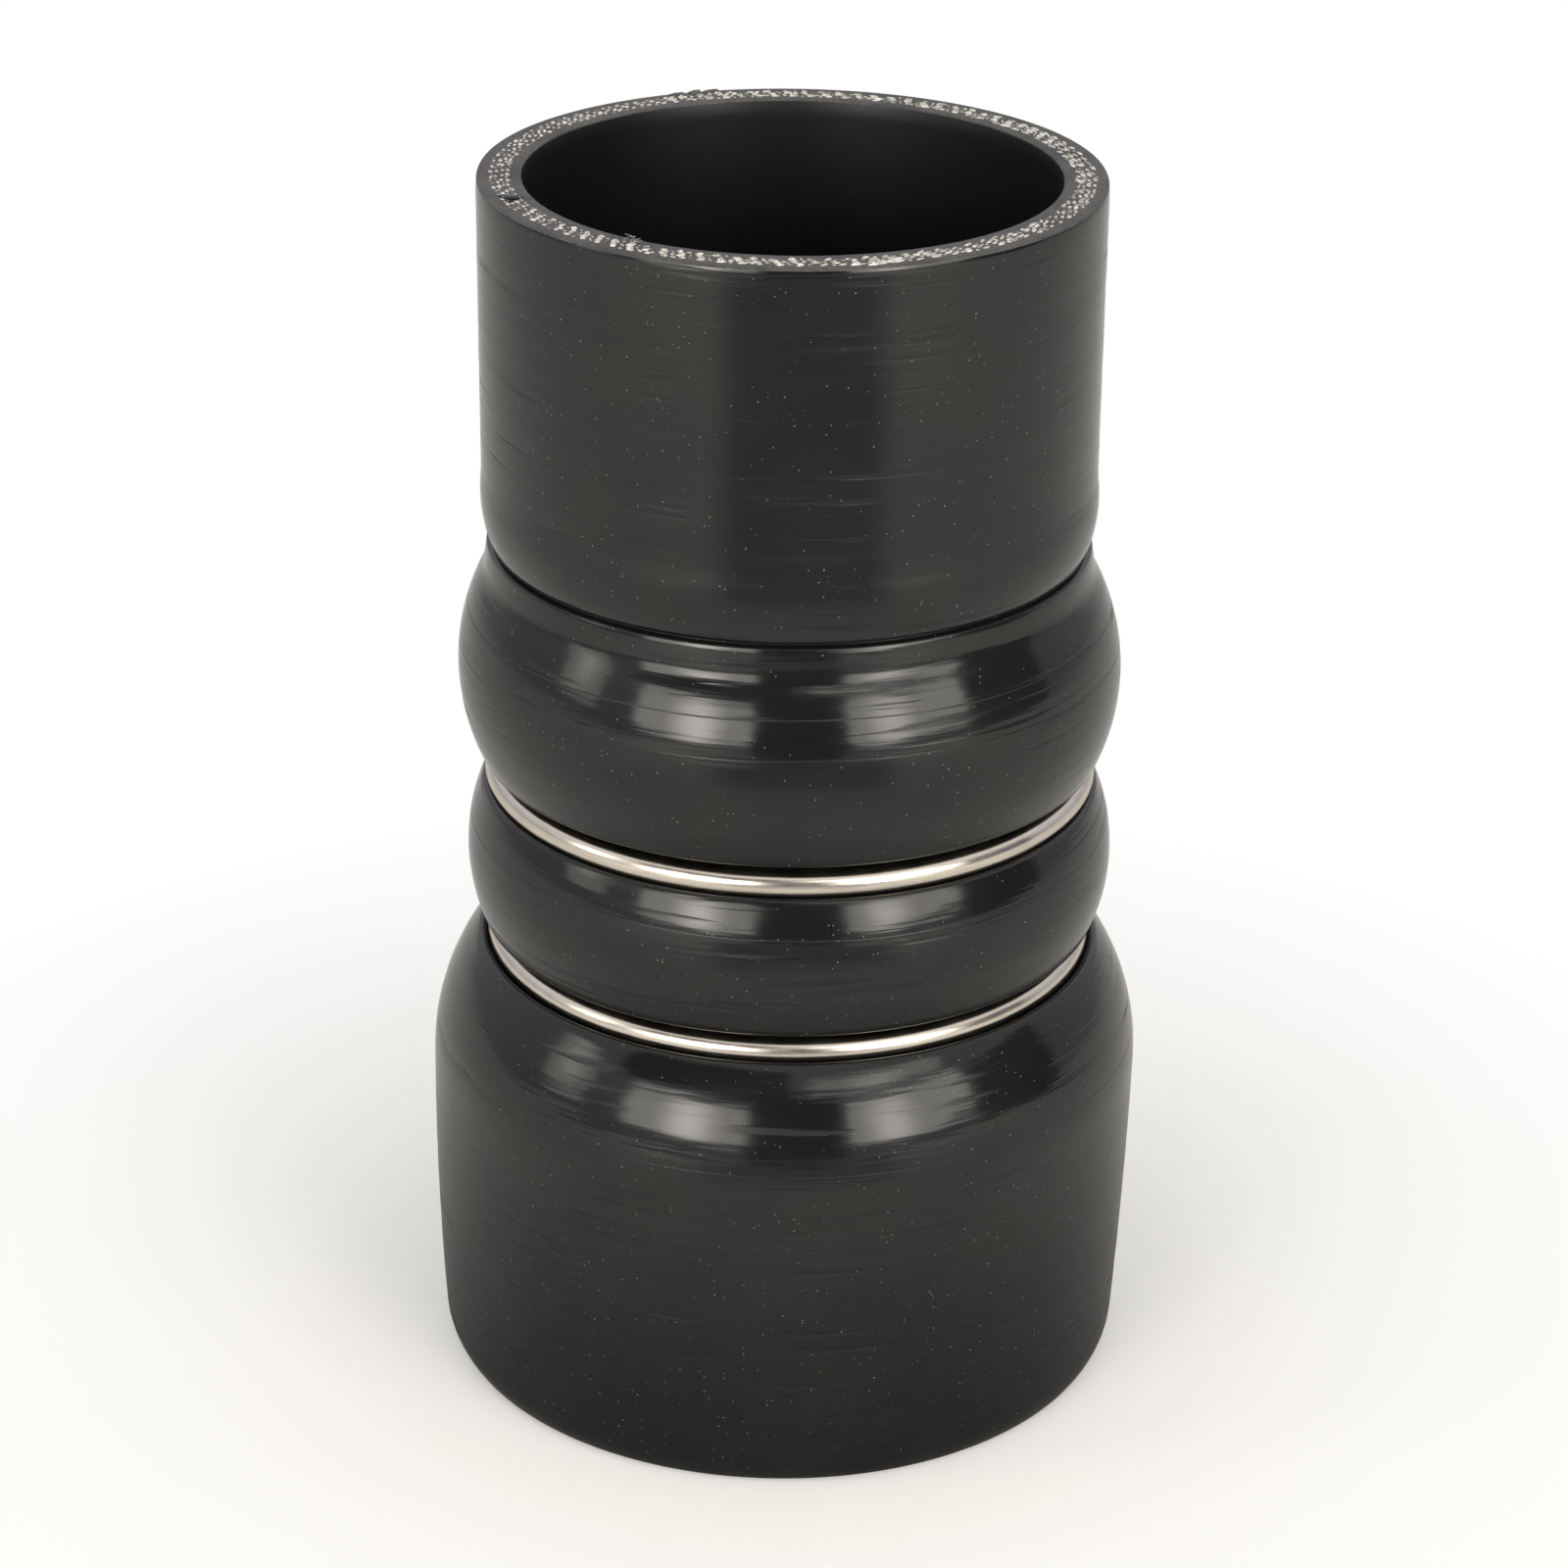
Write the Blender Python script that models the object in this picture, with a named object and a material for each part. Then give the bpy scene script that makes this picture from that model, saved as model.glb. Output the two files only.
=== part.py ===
"""Intercooler boot: a reinforced silicone hump hose with two steel rings seated in its grooves.

The boot stands on its wide end. Its axis is Z and the origin is the middle of that end.
Lengths are in metres.
"""

import math
from collections import namedtuple

import bmesh
import bpy

# Mouths and wall
UPPER_BORE_RADIUS = 0.03175
LOWER_BORE_RADIUS = 0.0378
WALL = 0.00535

# Lengths along the axis, from the lower mouth up
LOWER_CUFF_LENGTH = 0.0390
SHOULDER_LENGTH = 0.0180
RING_PITCH = 0.0217
UPPER_HUMP_REACH = 0.0127
LIP_REACH = 0.0226
UPPER_CUFF_LENGTH = 0.0389

# Outer wall between the cuffs: heights are measured from the waist, the floor of the ring grooves
WAIST_RADIUS = 0.0336
UPPER_HUMP_HEIGHT = 0.00684
LOWER_HUMP_HEIGHT = 0.00627
LOWER_CUFF_SWELL = 0.0013
GROOVE_RADIUS = 0.0026
GROOVE_SINK = 0.0007
GROOVE_LIP_ROUND = 0.0015
INNER_CORNER_ROUND = 0.0030

# Lip of the upper cuff and the crease under it
LIP_PROUD = 0.0002
LIP_ROUND = 0.0160
LIP_SWEEP = 0.0200
CREASE_ROUND = 0.0011

# Outer edges of the two mouths, which turn in slightly
UPPER_EDGE_ROUND = 0.0100
UPPER_EDGE_HEIGHT = 0.0024
LOWER_EDGE_ROUND = 0.0058
LOWER_EDGE_HEIGHT = 0.0034

# Steel rings, which rest low in their grooves
WIRE_DIAMETER = 0.0035
SEAT_CLEARANCE = 0.0003
SEAT_ANGLE = math.radians(64)

# Fineness of the turned surfaces
SEGMENTS_ROUND = 52
WIRE_SIDES = 10
OUTER_CHORD_ERROR = 0.0001
INNER_CHORD_ERROR = 0.0002
SHARPEST_SMOOTH_EDGE = math.radians(45)

# Colours as linear values
SILICONE_COLOUR = (0.020, 0.020, 0.019)
SILICONE_ROUGHNESS = 0.42
STEEL_COLOUR = (0.62, 0.58, 0.52)
STEEL_ROUGHNESS = 0.18

# Heights that follow from the lengths
SHOULDER_TOP = LOWER_CUFF_LENGTH
LOWER_GROOVE_Z = SHOULDER_TOP + SHOULDER_LENGTH
UPPER_GROOVE_Z = LOWER_GROOVE_Z + RING_PITCH
UPPER_HUMP_Z = UPPER_GROOVE_Z + UPPER_HUMP_REACH
LIP_Z = UPPER_HUMP_Z + LIP_REACH
TOP_Z = LIP_Z + UPPER_CUFF_LENGTH

# Radii that follow from the bores, the waist and the wire
WIRE_RADIUS = WIRE_DIAMETER / 2
GROOVE_CENTRE_RADIUS = WAIST_RADIUS + GROOVE_RADIUS
SEAT_REACH = GROOVE_RADIUS - WIRE_RADIUS - SEAT_CLEARANCE
RING_RADIUS = GROOVE_CENTRE_RADIUS - SEAT_REACH * math.cos(SEAT_ANGLE)
RING_DROP = SEAT_REACH * math.sin(SEAT_ANGLE)
UPPER_CUFF_RADIUS = UPPER_BORE_RADIUS + WALL
SHOULDER_RADIUS = LOWER_BORE_RADIUS + WALL + LOWER_CUFF_SWELL

# A circle of the wall's section. Its radius is negative where the rubber lies outside it.
Circle = namedtuple("Circle", "r z radius")


def clear_scene():
    for existing in list(bpy.data.objects):
        bpy.data.objects.remove(existing, do_unlink=True)


def crest(crest_radius, crest_z, side_radius, side_z):
    """Circle that peaks at the crest and passes through a point beside it."""
    drop = crest_radius - side_radius
    reach = side_z - crest_z
    radius = (drop**2 + reach**2) / (2 * drop)
    return Circle(crest_radius - radius, crest_z, radius)


def inset(circle, depth):
    """The same circle on a surface that lies this deep inside the outer one."""
    return Circle(circle.r, circle.z, circle.radius - depth)


def round_between(first, second, radius):
    """Circle of this radius that touches two others, on the side away from the axis."""
    from_first = abs(first.radius - radius)
    from_second = abs(second.radius - radius)
    across_r = second.r - first.r
    across_z = second.z - first.z
    distance = math.hypot(across_r, across_z)
    along = (from_first**2 - from_second**2 + distance**2) / (2 * distance)
    aside = math.sqrt(from_first**2 - along**2)
    unit_r = across_r / distance
    unit_z = across_z / distance
    outward = -1 if unit_z > 0 else 1
    centre_r = first.r + along * unit_r - outward * aside * unit_z
    centre_z = first.z + along * unit_z + outward * aside * unit_r
    return Circle(centre_r, centre_z, radius)


def touching_angle(first, second):
    """Direction of the surface where two circles of a smooth section meet."""
    gap = first.radius - second.radius
    return math.atan2((second.z - first.z) / gap, (second.r - first.r) / gap)


def arc_points(circle, start, end, chord_error):
    """Points along a circle of the section, fine enough to stay within the chord error."""
    widest = 2 * math.acos(1 - min(chord_error / abs(circle.radius), 1))
    steps = max(1, math.ceil(abs(end - start) / widest))
    points = []
    for step in range(steps + 1):
        angle = start + (end - start) * step / steps
        r = circle.r + circle.radius * math.cos(angle)
        z = circle.z + circle.radius * math.sin(angle)
        points.append((r, z))
    return points


def smooth_line(circles, start, end, chord_error):
    """Points along a chain of circles that touch one another, from one direction to another."""
    turns = [start]
    for first, second in zip(circles, circles[1:]):
        turns.append(touching_angle(first, second))
    turns.append(end)
    points = []
    for circle, begin, finish in zip(circles, turns, turns[1:]):
        arc = arc_points(circle, begin, finish, chord_error)
        points += arc[1:] if points else arc
    return points


def groove(groove_z):
    """Circle of the groove that holds a ring."""
    return Circle(GROOVE_CENTRE_RADIUS, groove_z, -GROOVE_RADIUS)


def wall_circles(depth, corner_round):
    """Chain of circles from the upper cuff down to the lower one, at this depth in the wall."""
    side = GROOVE_CENTRE_RADIUS + GROOVE_SINK
    lip = Circle(UPPER_CUFF_RADIUS + LIP_PROUD - LIP_ROUND, LIP_Z, LIP_ROUND)
    sweep_r = UPPER_CUFF_RADIUS + LIP_SWEEP
    sweep_rise = math.sqrt((LIP_SWEEP + LIP_ROUND) ** 2 - (sweep_r - lip.r) ** 2)
    sweep = Circle(sweep_r, LIP_Z + sweep_rise, -LIP_SWEEP)
    upper_hump = crest(WAIST_RADIUS + UPPER_HUMP_HEIGHT, UPPER_HUMP_Z, side, UPPER_GROOVE_Z)
    crease = round_between(lip, upper_hump, -CREASE_ROUND)
    lower_hump_z = (LOWER_GROOVE_Z + UPPER_GROOVE_Z) / 2
    lower_hump = crest(WAIST_RADIUS + LOWER_HUMP_HEIGHT, lower_hump_z, side, LOWER_GROOVE_Z)
    shoulder = crest(SHOULDER_RADIUS, SHOULDER_TOP, side, LOWER_GROOVE_Z)
    cuff = crest(SHOULDER_RADIUS, SHOULDER_TOP, SHOULDER_RADIUS - LOWER_CUFF_SWELL, 0)

    circles = [inset(circle, depth) for circle in (sweep, lip, crease)]
    forms = [upper_hump, groove(UPPER_GROOVE_Z), lower_hump, groove(LOWER_GROOVE_Z), shoulder]
    forms = [inset(form, depth) for form in forms]
    for first, second in zip(forms, forms[1:]):
        circles += [first, round_between(first, second, corner_round)]
    return circles + [forms[-1], inset(cuff, depth)]


def outer_line():
    """Outside of the hose, from the upper mouth down to the lower one."""
    top_edge = Circle(UPPER_CUFF_RADIUS - UPPER_EDGE_ROUND, TOP_Z - UPPER_EDGE_HEIGHT, UPPER_EDGE_ROUND)
    lean = math.asin(UPPER_EDGE_HEIGHT / UPPER_EDGE_ROUND)
    points = arc_points(top_edge, lean, 0, OUTER_CHORD_ERROR)

    circles = wall_circles(0, GROOVE_LIP_ROUND)
    cuff = circles[-1]
    to_edge = cuff.radius - LOWER_EDGE_ROUND
    edge_r = cuff.r + math.sqrt(to_edge**2 - (cuff.z - LOWER_EDGE_HEIGHT) ** 2)
    circles.append(Circle(edge_r, LOWER_EDGE_HEIGHT, LOWER_EDGE_ROUND))
    lean = -math.asin(LOWER_EDGE_HEIGHT / LOWER_EDGE_ROUND)
    return points + smooth_line(circles, 0, lean, OUTER_CHORD_ERROR)


def inner_line():
    """Inside of the hose, one wall thickness in, from the upper mouth down to the lower one."""
    circles = wall_circles(WALL, INNER_CORNER_ROUND)
    cuff = circles[-1]
    lean = -math.asin(cuff.z / cuff.radius)
    return [(UPPER_BORE_RADIUS, TOP_Z)] + smooth_line(circles, 0, lean, INNER_CHORD_ERROR)


def wire_section():
    """Round section of a ring's wire."""
    points = []
    for side in range(WIRE_SIDES):
        angle = 2 * math.pi * side / WIRE_SIDES
        r = RING_RADIUS + WIRE_RADIUS * math.cos(angle)
        points.append((r, WIRE_RADIUS * math.sin(angle)))
    return points


def turned_mesh(name, section, material):
    """Solid made by turning a closed section, given as radius and height, about Z."""
    shape = bmesh.new()
    corners = [shape.verts.new((r, 0, z)) for r, z in section]
    edges = [shape.edges.new(pair) for pair in zip(corners, corners[1:] + corners[:1])]
    bmesh.ops.spin(
        shape,
        geom=corners + edges,
        axis=(0, 0, 1),
        cent=(0, 0, 0),
        angle=2 * math.pi,
        steps=SEGMENTS_ROUND,
        use_merge=True,
    )
    bmesh.ops.recalc_face_normals(shape, faces=shape.faces)
    mesh = bpy.data.meshes.new(name)
    shape.to_mesh(mesh)
    shape.free()
    mesh.shade_smooth()
    mesh.set_sharp_from_angle(angle=SHARPEST_SMOOTH_EDGE)
    mesh.materials.append(material)
    return mesh


def principled(name, colour, roughness, metallic):
    material = bpy.data.materials.new(name)
    material.use_nodes = True
    shader = material.node_tree.nodes["Principled BSDF"]
    shader.inputs["Base Color"].default_value = (*colour, 1)
    shader.inputs["Roughness"].default_value = roughness
    shader.inputs["Metallic"].default_value = metallic
    return material


def place(name, mesh, height, parent):
    piece = bpy.data.objects.new(name, mesh)
    piece.location.z = height
    piece.parent = parent
    bpy.context.scene.collection.objects.link(piece)


def silicone_hose(parent):
    rubber = principled("black_silicone", SILICONE_COLOUR, SILICONE_ROUGHNESS, 0)
    section = outer_line() + inner_line()[::-1]
    place("silicone_hose", turned_mesh("silicone_hose", section, rubber), 0, parent)


def steel_rings(parent):
    steel = principled("polished_steel", STEEL_COLOUR, STEEL_ROUGHNESS, 1)
    ring = turned_mesh("steel_ring", wire_section(), steel)
    place("upper_ring", ring, UPPER_GROOVE_Z - RING_DROP, parent)
    place("lower_ring", ring, LOWER_GROOVE_Z - RING_DROP, parent)


def main():
    clear_scene()
    boot = bpy.data.objects.new("intercooler_boot", None)
    bpy.context.scene.collection.objects.link(boot)
    silicone_hose(boot)
    steel_rings(boot)


main()
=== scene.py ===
"""Looks of the intercooler boot: a film-wrapped silicone hump hose with two polished steel rings.

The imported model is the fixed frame. Every new piece is modelled round it in metres and stands
for the node that it replaces. The boot's axis is Z, and the photograph looks along +Y and down.
"""

import math
import random
from collections import namedtuple

import bpy
from mathutils import Matrix, Vector, noise


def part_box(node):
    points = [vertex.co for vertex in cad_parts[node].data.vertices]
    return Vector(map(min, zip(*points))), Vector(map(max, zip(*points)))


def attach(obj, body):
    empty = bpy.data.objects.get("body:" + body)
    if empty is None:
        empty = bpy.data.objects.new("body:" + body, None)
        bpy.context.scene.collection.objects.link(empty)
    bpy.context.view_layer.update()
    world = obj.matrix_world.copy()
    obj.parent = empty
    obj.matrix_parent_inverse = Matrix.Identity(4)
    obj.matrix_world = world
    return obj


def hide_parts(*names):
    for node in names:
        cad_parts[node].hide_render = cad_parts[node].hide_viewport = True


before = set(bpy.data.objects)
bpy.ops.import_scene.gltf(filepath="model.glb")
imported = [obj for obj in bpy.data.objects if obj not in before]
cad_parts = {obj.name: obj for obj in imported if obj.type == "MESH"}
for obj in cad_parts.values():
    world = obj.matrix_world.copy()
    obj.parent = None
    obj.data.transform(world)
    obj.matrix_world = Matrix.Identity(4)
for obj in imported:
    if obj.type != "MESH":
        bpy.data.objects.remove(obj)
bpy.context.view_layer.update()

# Mouths and wall, as the solids have them
UPPER_BORE_RADIUS = 0.03175
LOWER_BORE_RADIUS = 0.0378
WALL = 0.00535
TOP_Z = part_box("silicone_hose")[1].z
SHOULDER_TOP = 0.0390
LOWER_GROOVE_Z = SHOULDER_TOP + 0.0180
UPPER_GROOVE_Z = LOWER_GROOVE_Z + 0.0217
UPPER_HUMP_Z = UPPER_GROOVE_Z + 0.0127
LIP_Z = UPPER_HUMP_Z + 0.0226

# Outer wall between the cuffs. The raised, sunk and fuller amounts are read off the photograph's
# side outline and its reflections, and the solids don't have them.
WAIST_RADIUS = 0.0336
UPPER_HUMP_HEIGHT = 0.00684
LOWER_HUMP_HEIGHT = 0.00627
LOWER_CUFF_SWELL = 0.0013
UPPER_HUMP_RAISED = 0.0003
LOWER_HUMP_SUNK = 0.0004
HUMPS_FULLER = 0.00013
SHOULDER_FULLER = 0.0005
GROOVE_RADIUS = 0.0026
GROOVE_SINK = 0.0007
GROOVE_LIP_ROUND = 0.0006
INNER_CORNER_ROUND = 0.0030
LIP_PROUD = 0.0002
LIP_ROUND = 0.0160
LIP_SWEEP = 0.0200
CREASE_ROUND = 0.0011

# Fold under the upper cuff: a fine groove, and below it a short neck that sweeps out to the hump
FOLD_Z = 0.1080
FOLD_WIDTH = 0.00050
FOLD_DEPTH = 0.00040
FOLD_EDGE = 0.00008
NECK_SLOPE = math.radians(8)
NECK_BEND = 0.0040
HUMP_SLOPE = math.radians(28.9)

# Edges of the mouths. The outer ones turn in, and the upper mouth's two sharp edges are broken.
UPPER_EDGE_ROUND = 0.0200
UPPER_EDGE_HEIGHT = 0.0020
LOWER_EDGE_ROUND = 0.0058
LOWER_EDGE_HEIGHT = 0.0034
BROKEN_EDGE = 0.00018

# Rings. The photograph shows both a little lower than the solids have them, on the lower sides of
# their grooves.
WIRE_RADIUS = 0.00175
WIRE_CLEARANCE = 0.00002
SEAT_ANGLE = math.radians(92)
UPPER_RING_DROP = 0.0002
LOWER_RING_DROP = 0.0004
SEAT_REACH = GROOVE_RADIUS - WIRE_RADIUS - WIRE_CLEARANCE
RING_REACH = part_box("upper_ring")[1].x
RING_RADIUS = RING_REACH - WIRE_RADIUS
UPPER_RING_Z = sum(corner.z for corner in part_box("upper_ring")) / 2 - UPPER_RING_DROP
LOWER_RING_Z = sum(corner.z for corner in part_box("lower_ring")) / 2 - LOWER_RING_DROP
RING_STEPS = 288
WIRE_STEPS = 40
WELD_ANGLE = math.radians(97)
WELD_LENGTH = 0.0011
WELD_PROUD = 0.00012

# Fineness of the turned hose
STEPS_ROUND = 256
OUTER_STEP = 0.00075
LARGEST_BEND = math.radians(16)
INNER_STEP = 0.0022
CUFF_STEP = 0.001125
NECK_STEPS = 4
FACE_STEPS = 6
MERGE = 0.000001

# The real hose leans sideways a little at its waist
LEAN = 0.0006
LEAN_Z = 0.067
LEAN_REACH = 0.035

# Relief of the skin, from the film wrap: long low waves, and the lines that the film's edges left
WAVE_LENGTH = 0.014
WAVE_HEIGHT = 0.0028
WAVE_DEPTH = 0.00003
FLAT_ENDS = 0.001
FILM_LINES = (0.0953, 0.0999, 0.0720, 0.0432)
LINE_WANDER = 0.0012

# Fabric: four plies in the middle of the wall, and the yarns that their cut edges show
PLIES = 4
INNER_RUBBER_SHARE = 0.25
FABRIC_SHARE = 0.48
YARNS_ROUND = 100
YARN_WIDTH = 0.00060
YARN_SUNK = 0.0004
YARN_PROUD = 0.00022
YARN_RAGGED = 0.07
LOWER_YARNS_IN = 0.0013
PLY_SHIFT = 0.16
TORN_YARNS = 9
TORN_LENGTH = (0.0014, 0.0026)
TORN_SPREAD = (math.radians(-80), math.radians(-66))

# Loose fibres
FIBRE_THICKNESS = 0.00004
TUFT_TURN = math.radians(-122)
TUFT_RADIUS = 0.0336
TUFT_HEIGHT = 0.0013
TUFT_FIBRES = 5
LINT_FIBRES = 26
LINT_LENGTH = (0.0004, 0.0011)
LINT_HEIGHTS = (0.004, TOP_Z - 0.003)
LINT_POINTS = 4

# Flap and crumbs that the knife left on the upper cut: (turn, radius, height, size) of each crumb
FLAP_ROOT = (-0.0314, -0.0106)
FLAP_TURN = math.radians(-132)
FLAP_LENGTH = 0.0036
FLAP_WIDTH = 0.0016
FLAP_LIFT = 0.0009
FLAP_THICKNESS = 0.0002
CRUMBS = [
    (math.radians(113.5), 0.0363, TOP_Z, (0.0009, 0.0022, 0.0006)),
    (math.radians(109.7), 0.0363, TOP_Z, (0.0009, 0.0017, 0.0009)),
    (math.radians(106.3), 0.0364, TOP_Z, (0.0008, 0.0021, 0.0007)),
]

# Camera fitted to the photograph
CAMERA_PLACE = (-0.00012, -0.49783, 0.29997)
CAMERA_PITCH = math.radians(24.377)
CAMERA_ROLL = math.radians(0.735)
CAMERA_LENS = 100.84
SENSOR_WIDTH = 36

# Studio: soft boxes and flags round the boot, hidden from the camera. Angles are in degrees, round from
# the camera's side and up from level. A lamp's place is a share of its soft box's width and height.
FLOOR_Z = -0.0004
FLOOR_SIZE = 4
CLOTH_LIFT = 0.0002
FLOOR_LIFT = 0.20
WHITE_FROM = (0.055, 0.16)
TENT_LEVEL = 0.65
AIM_HEIGHT = 0.09
BOX_DISTANCE = 1.3
BOX_EDGE = 4.5
BOX_FADE = (0.25, 0.75)
LAMP_SQUEEZE = Vector((1, 1, 0.4))
SoftBox = namedtuple("SoftBox", "name left right low high cloth_level lamp_level lamp_place lamp_reach")
SOFT_BOXES = [
    SoftBox("left_soft_box", -52, -11, 1.5, 22.5, 4.6, 13.0, (0.52, 0.40), 0.24),
    SoftBox("left_side_strip", -84, -66, 4, 27, 2.2, 4.6, (0.5, 0.6), 0.15),
    SoftBox("right_soft_box", 20, 62, 1.5, 25, 4.4, 10.5, (0.38, 0.40), 0.22),
    SoftBox("right_upper_strip", 8, 58, 28.5, 37, 3.0, 5.5, (0.50, 0.2), 0.26),
]
FLAG_EDGE = 2.5
Flag = namedtuple("Flag", "name left right low high distance")
FLAGS = [
    Flag("camera_cloth", -11, 18, -8, 28, 1.0),
    Flag("left_upper_flag", -60, 2, 25, 44, 1.2),
    Flag("right_flag", 64, 96, -8, 23, 1.2),
    Flag("right_bar", 42, 66, 3.5, 7, 1.2),
]
FLOOR_CLOTH_TURN = (-23, 33)
FLOOR_CLOTH_REACH = (0.25, 0.90)
FLOOR_CLOTH_EDGES = (8, 0.13)
# Painted shade: a dark sheet round the foot, seen only in gloss, stands in for the floor's shadow there.
FOOT_SHADE_REACH = (0.044, 0.105)
FOOT_SHADE_OPENNESS = 0.35

UPPER_CUFF_RADIUS = UPPER_BORE_RADIUS + WALL
GROOVE_CENTRE_RADIUS = WAIST_RADIUS + GROOVE_RADIUS
SHOULDER_RADIUS = LOWER_BORE_RADIUS + WALL + LOWER_CUFF_SWELL

# A circle of the wall's section. Its radius is negative where the rubber lies outside it.
Circle = namedtuple("Circle", "r z radius")


def linear(colour):
    """Linear values of a colour written as sRGB hex."""
    values = []
    for start in (1, 3, 5):
        value = int(colour[start : start + 2], 16) / 255
        values.append(value / 12.92 if value <= 0.04045 else ((value + 0.055) / 1.055) ** 2.4)
    return (*values, 1)


# Nodes and materials


def node(tree, kind, sockets=None, **settings):
    """Adds a shader node with its settings. Each socket takes a value, or a link from a node or an output."""
    made = tree.nodes.new("ShaderNode" + kind)
    for name, value in settings.items():
        setattr(made, name, value)
    for name, value in (sockets or {}).items():
        if isinstance(value, bpy.types.Node):
            value = value.outputs[0]
        if isinstance(value, bpy.types.NodeSocket):
            tree.links.new(value, made.inputs[name])
        else:
            made.inputs[name].default_value = value
    return made


def blank_material(name):
    """A material without nodes, its tree, and the Object coordinates that its patterns read."""
    material = bpy.data.materials.new(name)
    material.use_nodes = True
    tree = material.node_tree
    tree.nodes.clear()
    return material, tree, node(tree, "TexCoord").outputs["Object"]


def wrapped_silicone():
    """Black silicone rubber, cured under a tight wrap of nylon film.

    The film leaves a glossy skin with fine lines round the hose, low flat strips, a thin sunk line
    where a turn's edge lay, and short dents. The sunk line and the dents carry painted shade: their
    colour is darkened. Silicone draws dust, which shows as pale specks.
    """
    material, tree, place = blank_material("film_wrapped_silicone")
    # Fine lines are 0.2 to 0.5 mm apart and run on for a few centimetres.
    fine_place = node(tree, "Mapping", {"Vector": place, "Scale": (40, 40, 2800)})
    fine = node(tree, "TexNoise", {"Vector": fine_place, "Scale": 1, "Detail": 3})
    # Strips are 2 to 3 mm wide and some 30 mm long.
    strip_place = node(tree, "Mapping", {"Vector": place, "Scale": (34, 34, 460)})
    strips = node(tree, "TexNoise", {"Vector": strip_place, "Scale": 1, "Detail": 3})
    # The plies under the skin make it uneven every 12 mm or so.
    plies = node(tree, "TexNoise", {"Vector": place, "Scale": 80, "Detail": 1})
    # Orange-peel grain, 0.3 mm wide.
    grain = node(tree, "TexNoise", {"Vector": place, "Scale": 3300, "Detail": 2})

    # Lines of the film's edges, 0.2 mm wide, right round the hose. They wander by half a millimetre.
    wander = node(tree, "TexNoise", {"Vector": place, "Scale": 20, "Detail": 1})
    height = node(tree, "SeparateXYZ", {0: place}).outputs["Z"]
    wandering = node(tree, "Math", {0: wander, 1: LINE_WANDER, 2: height}, operation="MULTIPLY_ADD")
    lines = 0.0
    for line_z in FILM_LINES:
        from_line = node(tree, "Math", {0: wandering, 1: line_z + LINE_WANDER / 2}, operation="SUBTRACT")
        gap = node(tree, "Math", {0: from_line}, operation="ABSOLUTE")
        line = node(tree, "MapRange", {0: gap, 1: 0.00002, 2: 0.00012, 3: 1.0, 4: 0.0})
        lines = node(tree, "Math", {0: lines, 1: line}, operation="MAXIMUM")

    # Dents: thin lines round the hose, 0.5 mm wide, broken into lengths of 10 to 30 mm.
    dent_place = node(tree, "Mapping", {"Vector": place, "Scale": (38, 38, 1000)})
    dent_lines = node(tree, "TexNoise", {"Vector": dent_place, "Scale": 1, "Detail": 1})
    dent_areas = node(tree, "TexNoise", {"Vector": place, "Scale": 60, "Detail": 1})
    ridges = node(tree, "MapRange", {0: dent_lines, 1: 0.58, 2: 0.72})
    areas = node(tree, "MapRange", {0: dent_areas, 1: 0.40, 2: 0.58})
    dents = node(tree, "Math", {0: ridges, 1: areas}, operation="MULTIPLY")

    # Dust specks of many sizes, up to 0.18 mm wide, a few millimetres apart.
    specks = node(tree, "TexVoronoi", {"Vector": place, "Scale": 1700})
    speck_kinds = node(tree, "SeparateColor", {0: specks.outputs["Color"]}).outputs["Red"]
    speck_reach = node(tree, "MapRange", {0: speck_kinds, 1: 0.58, 2: 1.0, 3: 0.0, 4: 0.15})
    dust = node(tree, "Math", {0: specks, 1: speck_reach}, operation="LESS_THAN")

    tone = node(tree, "MapRange", {0: plies, 1: 0.35, 2: 0.65})
    rubber = node(tree, "Mix", {0: tone, 6: linear("#111213"), 7: linear("#161615")}, data_type="RGBA")
    # Painted shade: the sunk film lines and dents are coloured darker, as if shade lay in them, and made
    # rougher.
    shadowed = node(tree, "Math", {0: dents, 1: 0.8}, operation="MULTIPLY")
    marks = node(tree, "Math", {0: shadowed, 1: lines}, operation="MAXIMUM")
    line_shaded_rubber = node(tree, "Mix", {0: marks, 6: rubber.outputs[2], 7: linear("#080809")}, data_type="RGBA")
    dusty = node(tree, "Mix", {0: dust, 6: line_shaded_rubber.outputs[2], 7: linear("#75736e")}, data_type="RGBA")

    gloss = node(tree, "MapRange", {0: strips, 1: 0.3, 2: 0.7, 3: 0.09, 4: 0.15})
    worn = node(tree, "Math", {0: marks, 1: 0.35, 2: gloss}, operation="MULTIPLY_ADD")
    roughness = node(tree, "Math", {0: dust, 1: 0.5, 2: worn}, operation="MULTIPLY_ADD")

    relief = node(tree, "Math", {0: fine, 1: 0.10}, operation="MULTIPLY")
    for pattern, share in ((strips, 2.8), (plies, 2.6), (grain, 0.02), (lines, -0.3), (dents, -1.2)):
        relief = node(tree, "Math", {0: pattern, 1: share, 2: relief}, operation="MULTIPLY_ADD")
    # The relief fades where the surface faces up or down, at the lips of the grooves and the fold.
    facing = node(tree, "SeparateXYZ", {0: node(tree, "TexCoord").outputs["Normal"]}).outputs["Z"]
    upward = node(tree, "Math", {0: facing}, operation="ABSOLUTE")
    strength = node(tree, "MapRange", {0: upward, 1: 0.55, 2: 0.85, 3: 0.6, 4: 0.05})
    bump = node(tree, "Bump", {"Height": relief, "Strength": strength, "Distance": 0.00005})
    sockets = {"Base Color": dusty.outputs[2], "Roughness": roughness, "IOR": 1.45, "Normal": bump}
    rubber = node(tree, "BsdfPrincipled", sockets)
    node(tree, "OutputMaterial", {"Surface": rubber})
    return material


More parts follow.
